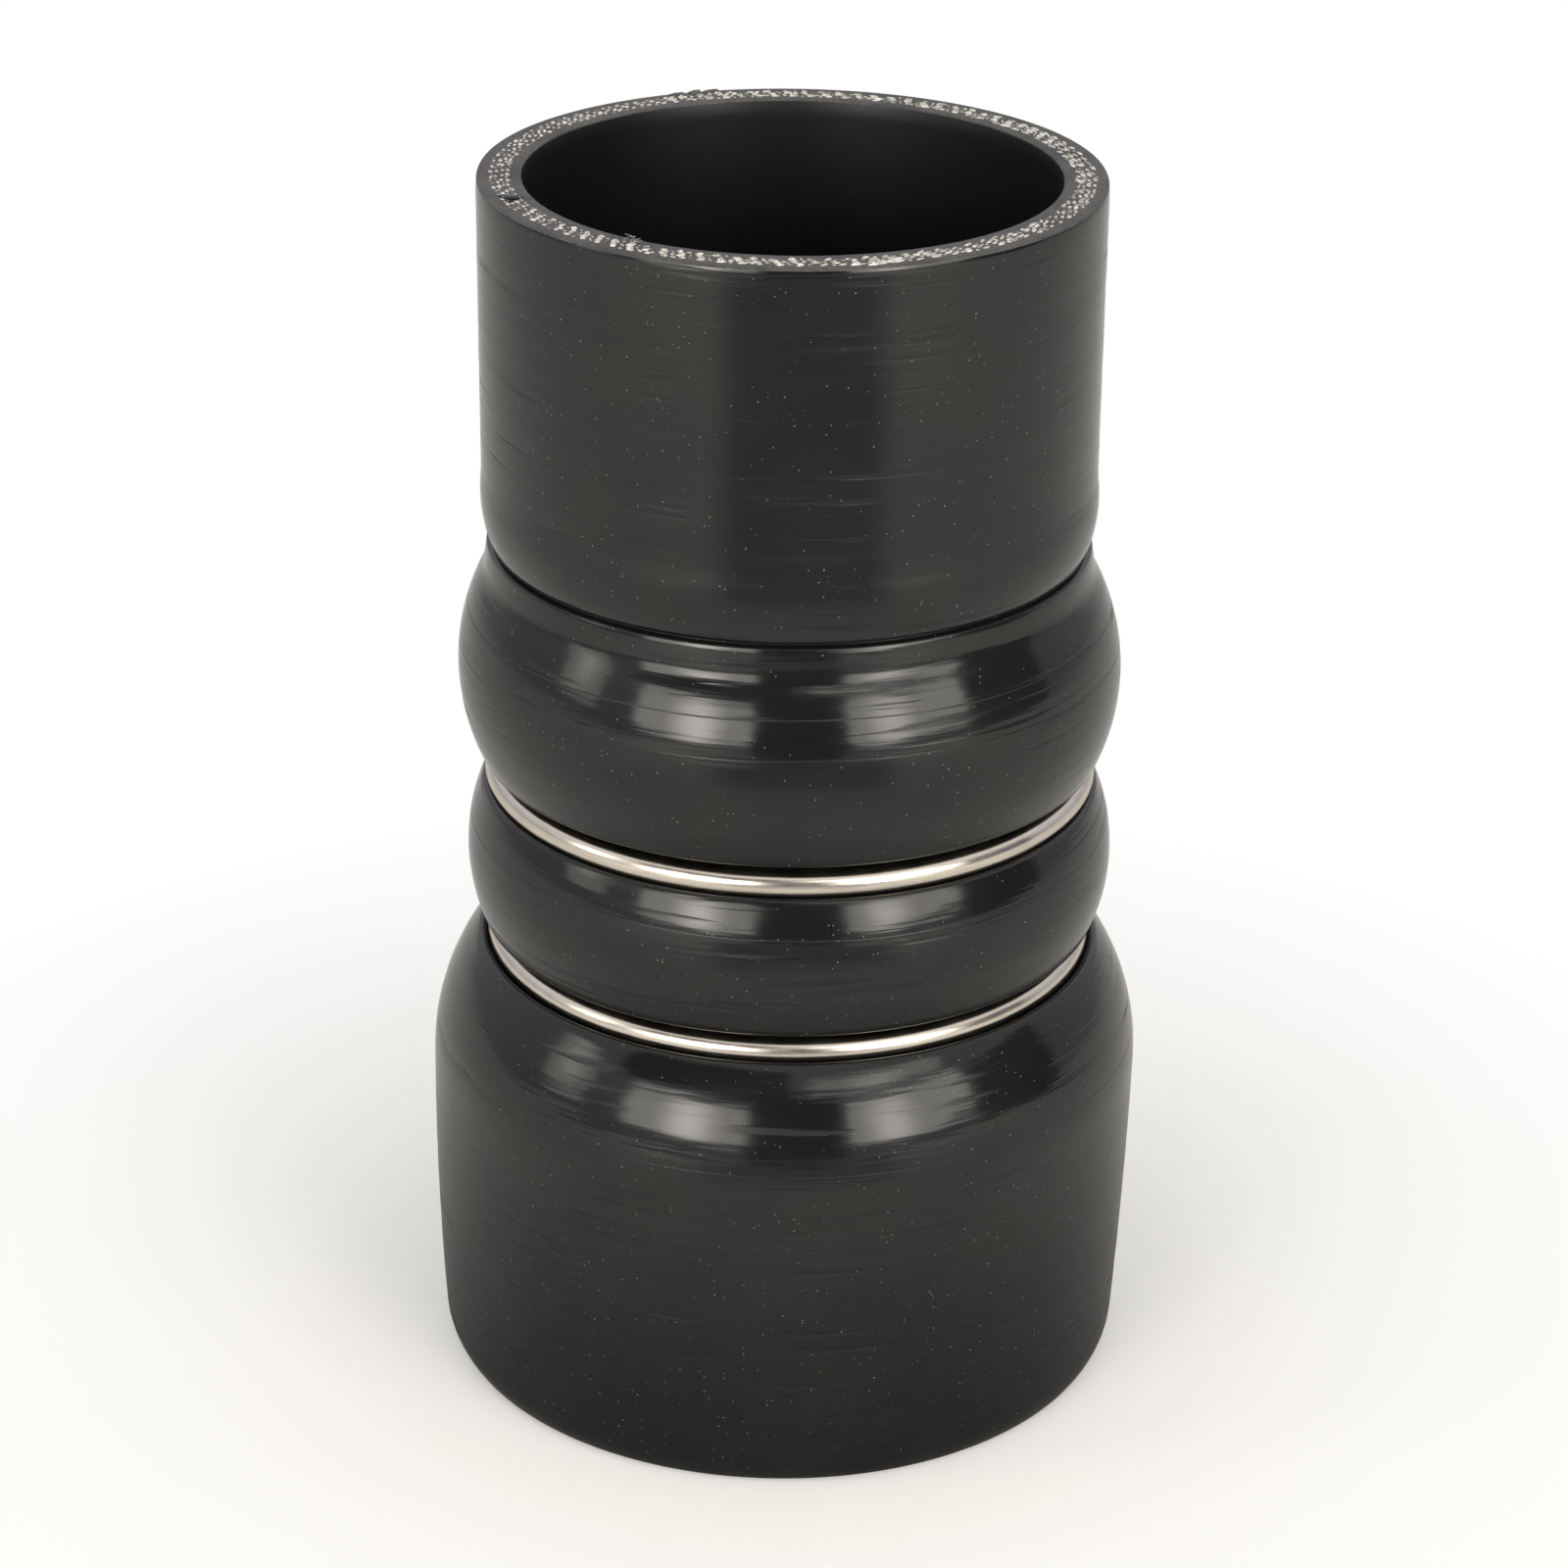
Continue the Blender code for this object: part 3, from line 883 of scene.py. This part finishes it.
def wire_ring(name, ring_z, material):
    """A ring of round wire, butt-welded at the back, where the weld stands slightly proud."""
    deselect()
    bpy.ops.mesh.primitive_torus_add(
        major_radius=RING_RADIUS,
        minor_radius=WIRE_RADIUS,
        major_segments=RING_STEPS,
        minor_segments=WIRE_STEPS,
    )
    ring = bpy.context.object
    ring.name = name
    mesh = ring.data
    bpy.ops.object.mode_set(mode="EDIT")
    bpy.ops.mesh.select_mode(type="FACE")
    bpy.ops.object.mode_set(mode="OBJECT")
    for face in mesh.polygons:
        turn = math.atan2(face.center.y, face.center.x)
        face.select = abs(turn - WELD_ANGLE) * RING_RADIUS < WELD_LENGTH / 2
    bpy.ops.object.mode_set(mode="EDIT")
    bpy.ops.mesh.inset(thickness=WELD_LENGTH / 6)
    bpy.ops.transform.shrink_fatten(value=WELD_PROUD)
    bpy.ops.mesh.select_all(action="SELECT")
    bpy.ops.transform.translate(value=(lean_at(ring_z), 0, ring_z))
    bpy.ops.object.mode_set(mode="OBJECT")
    mesh.materials.append(material)
    finish_shading(ring, math.radians(60))
    return ring


# Studio


def toward(turn, rise, distance):
    """Point this far from the middle of the boot, at a turn from the camera's side and a rise from level."""
    flat = math.cos(math.radians(rise)) * distance
    across = math.sin(math.radians(turn)) * flat
    away = -math.cos(math.radians(turn)) * flat
    return Vector((across, away, AIM_HEIGHT + math.sin(math.radians(rise)) * distance))


def panel(name, corners, material):
    """A flat panel through four corners, given in turn round its edge, and hidden from the camera."""
    mesh = bpy.data.meshes.new(name)
    mesh.from_pydata(corners, [], [(0, 1, 2, 3)])
    mesh.materials.append(material)
    made = bpy.data.objects.new(name, mesh)
    bpy.context.scene.collection.objects.link(made)
    made.visible_camera = False
    made.visible_shadow = False
    return made


def card_corners(card, edge, distance):
    """Corners of a panel that fills a card's angles and its soft edge."""
    turns = (card.left - edge, card.right + edge)
    low = [toward(turn, card.low - edge, distance) for turn in turns]
    high = [toward(turn, card.high + edge, distance) for turn in turns[::-1]]
    return low + high


def seen_within(tree, value, low, high, edge):
    """1 between two limits and 0 outside them, with a soft edge."""
    offset = node(tree, "Math", {0: value, 1: (low + high) / 2}, operation="SUBTRACT")
    off_middle = node(tree, "Math", {0: offset}, operation="ABSOLUTE")
    reach = (high - low) / 2
    limits = {0: off_middle, 1: reach - edge, 2: reach + edge, 3: 1.0, 4: 0.0}
    return node(tree, "MapRange", limits, interpolation_type="SMOOTHSTEP")


def turn_and_rise(tree, place):
    """Turn and rise, in degrees, at which a place is seen from the middle of the boot."""
    parts = node(tree, "SeparateXYZ", {0: place}).outputs
    away = node(tree, "Math", {0: parts["Y"], 1: -1.0}, operation="MULTIPLY")
    turn = node(tree, "Math", {0: parts["X"], 1: away}, operation="ARCTAN2")
    level = node(tree, "CombineXYZ", {0: parts["X"], 1: parts["Y"]})
    flat = node(tree, "VectorMath", {0: level}, operation="LENGTH").outputs["Value"]
    up = node(tree, "Math", {0: parts["Z"], 1: AIM_HEIGHT}, operation="SUBTRACT")
    rise = node(tree, "Math", {0: up, 1: flat}, operation="ARCTAN2")
    return [node(tree, "Math", {0: angle}, operation="DEGREES") for angle in (turn, rise)]


def within_card(tree, place, card, edge):
    """1 inside a card's angles and 0 outside them."""
    turn, rise = turn_and_rise(tree, place)
    across = seen_within(tree, turn, card.left, card.right, edge)
    up = seen_within(tree, rise, card.low, card.high, edge)
    return node(tree, "Math", {0: across, 1: up}, operation="MULTIPLY")


def soft_box(box):
    """A soft box, brighter where its lamp stands behind the cloth."""
    corners = card_corners(box, BOX_EDGE, BOX_DISTANCE)
    across, up = box.lamp_place
    lamp = corners[0].lerp(corners[1], across).lerp(corners[3].lerp(corners[2], across), up)

    material, tree, place = blank_material(box.name + "_cloth")
    squeezed = node(tree, "VectorMath", {0: place, 1: LAMP_SQUEEZE}, operation="MULTIPLY")
    away = node(tree, "VectorMath", {0: squeezed, 1: lamp * LAMP_SQUEEZE}, operation="DISTANCE")
    from_lamp = away.outputs["Value"]
    levels = {0: from_lamp, 1: 0.0, 2: box.lamp_reach, 3: box.lamp_level, 4: box.cloth_level}
    level = node(tree, "MapRange", levels, interpolation_type="SMOOTHSTEP")
    cloth = node(tree, "Emission", {"Color": linear("#fffaf2"), "Strength": level})
    clear = node(tree, "BsdfTransparent")
    within = within_card(tree, place, box, BOX_EDGE)
    fade = {0: within, 1: BOX_FADE[0], 2: BOX_FADE[1]}
    shown = node(tree, "MapRange", fade, interpolation_type="SMOOTHSTEP")
    cloth = node(tree, "MixShader", {0: shown, 1: clear, 2: cloth})
    node(tree, "OutputMaterial", {"Surface": cloth})
    panel(box.name, corners, material)


def dark_flag(flag):
    """A flag of dark cloth. The rubber shows the flags as its dark middle and its dark right flank."""
    material, tree, place = blank_material(flag.name + "_cloth")
    cloth = node(tree, "BsdfDiffuse", {"Color": linear("#66666e")})
    clear = node(tree, "BsdfTransparent")
    cloth = node(tree, "MixShader", {0: within_card(tree, place, flag, FLAG_EDGE), 1: clear, 2: cloth})
    node(tree, "OutputMaterial", {"Surface": cloth})
    corners = card_corners(flag, FLAG_EDGE, flag.distance)
    panel(flag.name, corners, material).visible_diffuse = False


def floor_square(name, low, high, material):
    """A cloth that lies on the floor, from one corner to the opposite one."""
    z = FLOOR_Z + CLOTH_LIFT
    corners = [(low[0], low[1], z), (high[0], low[1], z), (high[0], high[1], z), (low[0], high[1], z)]
    panel(name, corners, material).visible_diffuse = False


def floor_cloths():
    """Grey cloth on the floor before the camera, and a dark sheet round the boot's foot that is painted
    shade: it stands in for the floor's shadow there.

    The rubber shows them as the dark bands in its middle and, as a painted reflection of that shade,
    as its dark foot.
    """
    material, tree, place = blank_material("grey_cloth")
    turn, _ = turn_and_rise(tree, place)
    near, far = FLOOR_CLOTH_REACH
    from_axis = node(tree, "VectorMath", {0: place}, operation="LENGTH").outputs["Value"]
    side_edge, end_edge = FLOOR_CLOTH_EDGES
    across = seen_within(tree, turn, *FLOOR_CLOTH_TURN, side_edge)
    along = seen_within(tree, from_axis, near, far, end_edge)
    shown = node(tree, "Math", {0: across, 1: along}, operation="MULTIPLY")
    cloth = node(tree, "BsdfDiffuse", {"Color": linear("#9a9aa2")})
    clear = node(tree, "BsdfTransparent")
    cloth = node(tree, "MixShader", {0: shown, 1: clear, 2: cloth})
    node(tree, "OutputMaterial", {"Surface": cloth})
    floor_square("floor_cloth", (-far, -far), (far, 0), material)

    # Painted shade: a dark sheet round the foot, hidden from the camera, that the rubber reflects as the
    # floor's shadow.
    material, tree, place = blank_material("painted_foot_shade")
    from_axis = node(tree, "VectorMath", {0: place}, operation="LENGTH").outputs["Value"]
    limits = {0: from_axis, 1: FOOT_SHADE_REACH[0], 2: FOOT_SHADE_REACH[1], 3: FOOT_SHADE_OPENNESS, 4: 1.0}
    openness = node(tree, "MapRange", limits)
    shade_sheet = node(tree, "BsdfDiffuse", {"Color": linear("#1a1a1c")})
    clear = node(tree, "BsdfTransparent")
    foot_shade = node(tree, "MixShader", {0: openness, 1: shade_sheet, 2: clear})
    node(tree, "OutputMaterial", {"Surface": foot_shade})
    reach = FOOT_SHADE_REACH[1]
    floor_square("foot_shade_sheet", (-reach, -reach), (reach, reach), material)


def paper_floor():
    """White paper, drawn out flat. To the camera it turns to pure white away from the boot's shadow."""
    material, tree, place = blank_material("white_paper")
    mottle = node(tree, "TexNoise", {"Vector": place, "Scale": 8, "Detail": 2})
    colour = node(tree, "Mix", {0: mottle, 6: linear("#eeedea"), 7: linear("#f2f1ee")}, data_type="RGBA")
    seen = node(tree, "LightPath").outputs["Is Camera Ray"]
    lift = node(tree, "Math", {0: seen, 1: FLOOR_LIFT}, operation="MULTIPLY")
    sockets = {"Base Color": colour.outputs[2], "Roughness": 0.9, "Specular IOR Level": 0.2}
    sockets |= {"Emission Color": (1, 1, 1, 1), "Emission Strength": lift}
    paper = node(tree, "BsdfPrincipled", sockets)
    from_axis = node(tree, "VectorMath", {0: place}, operation="LENGTH").outputs["Value"]
    away = node(tree, "MapRange", {0: from_axis, 1: WHITE_FROM[0], 2: WHITE_FROM[1]})
    whitened = node(tree, "Math", {0: seen, 1: away}, operation="MULTIPLY")
    white = node(tree, "Emission", {"Strength": 1.0})
    surface = node(tree, "MixShader", {0: whitened, 1: paper, 2: white})
    node(tree, "OutputMaterial", {"Surface": surface})

    deselect()
    bpy.ops.mesh.primitive_plane_add(size=FLOOR_SIZE)
    floor = bpy.context.object
    floor.data.transform(Matrix.Translation((0, 0, FLOOR_Z)))
    floor.name = "paper_floor"
    floor.data.materials.append(material)


def studio_world():
    """White background for the camera, and a pale tent, darker low down, for everything else.

    The tent's gloss shows at its full level, and what it lights is lit at a plain one.
    """
    world = bpy.data.worlds.new("pale_tent")
    bpy.context.scene.world = world
    world.use_nodes = True
    tree = world.node_tree
    tree.nodes.clear()
    direction = node(tree, "TexCoord").outputs["Generated"]
    rise = node(tree, "SeparateXYZ", {0: direction}).outputs["Z"]
    low = node(tree, "MapRange", {0: rise, 1: 0.0, 2: 0.4})
    high = node(tree, "MapRange", {0: rise, 1: 0.4, 2: 0.8})
    side = node(tree, "Mix", {0: low, 6: linear("#b4b4be"), 7: linear("#dedde4")}, data_type="RGBA")
    tent = node(tree, "Mix", {0: high, 6: side.outputs[2], 7: linear("#fffdf8")}, data_type="RGBA")
    rays = node(tree, "LightPath")
    seen = rays.outputs["Is Camera Ray"]
    white = (1, 1, 1, 1)
    colour = node(tree, "Mix", {0: seen, 6: tent.outputs[2], 7: white}, data_type="RGBA")
    mirrored = node(tree, "Math", {0: seen, 1: rays.outputs["Is Glossy Ray"]}, operation="MAXIMUM")
    strength = node(tree, "Mix", {0: mirrored, 2: TENT_LEVEL, 3: 1.0})
    back = node(tree, "Background", {"Color": colour.outputs[2], "Strength": strength})
    node(tree, "OutputWorld", {"Surface": back})


def photo_camera():
    """Camera fitted to the photograph: in front, above, looking down, with a slight roll."""
    data = bpy.data.cameras.new("photo_camera")
    data.lens = CAMERA_LENS
    data.sensor_width = SENSOR_WIDTH
    data.clip_start = 0.01
    camera = bpy.data.objects.new("photo_camera", data)
    bpy.context.scene.collection.objects.link(camera)
    tilt = Matrix.Rotation(math.pi / 2 - CAMERA_PITCH, 4, "X")
    roll = Matrix.Rotation(CAMERA_ROLL, 4, "Z")
    camera.matrix_world = Matrix.Translation(CAMERA_PLACE) @ tilt @ roll
    bpy.context.scene.camera = camera


# Making


def made_hose(skin, cut, bore):
    """The hose with its sharp edges broken, its three finishes and the unevenness of its skin."""
    piece, mouth_edges, fold_edges = turned_hose()
    break_edges(piece, mouth_edges, BROKEN_EDGE)
    break_edges(piece, fold_edges, FOLD_EDGE)
    give_faces(piece.data, skin, cut, bore)
    film_relief(piece.data)
    finish_shading(piece, math.radians(40))
    return piece


photo_camera()
studio_world()
paper_floor()
floor_cloths()
for flag in FLAGS:
    dark_flag(flag)
for box in SOFT_BOXES:
    soft_box(box)

skin = wrapped_silicone()
cut = cut_silicone()
bore = bore_silicone()
yarn = polyester_yarn()
steel = polished_wire()
lint = cotton_lint()

hose = made_hose(skin, cut, bore)
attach(hose, "root")
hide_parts("silicone_hose")

for name, bore_radius, face_z, down in (
    ("upper_yarn_ends", UPPER_BORE_RADIUS, TOP_Z, False),
    ("lower_yarn_ends", LOWER_BORE_RADIUS - LOWER_YARNS_IN, 0.0, True),
):
    chance = random.Random(name)
    places = ply_places(bore_radius, face_z, down, chance)
    if not down:
        places += torn_yarn_places(chance)
    ends = join_copies(name, yarn_stub(), places, yarn, chance, YARN_RAGGED)
    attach(ends, "root")

tuft = join_fibres("frayed_tuft", frayed_tuft(random.Random("tuft")), yarn)
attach(tuft, "root")

lint_fibres = join_fibres("lint_fibres", lint_on(hose, random.Random("lint")), lint)
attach(lint_fibres, "root")

flap = torn_flap(skin)
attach(flap, "root")

crumbs = torn_crumbs(cut)
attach(crumbs, "root")

for name, node_name, ring_z in (
    ("upper_wire_ring", "upper_ring", UPPER_RING_Z),
    ("lower_wire_ring", "lower_ring", LOWER_RING_Z),
):
    ring = wire_ring(name, ring_z, steel)
    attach(ring, "root")
    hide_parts(node_name)

bpy.context.scene.view_settings.view_transform = "Standard"
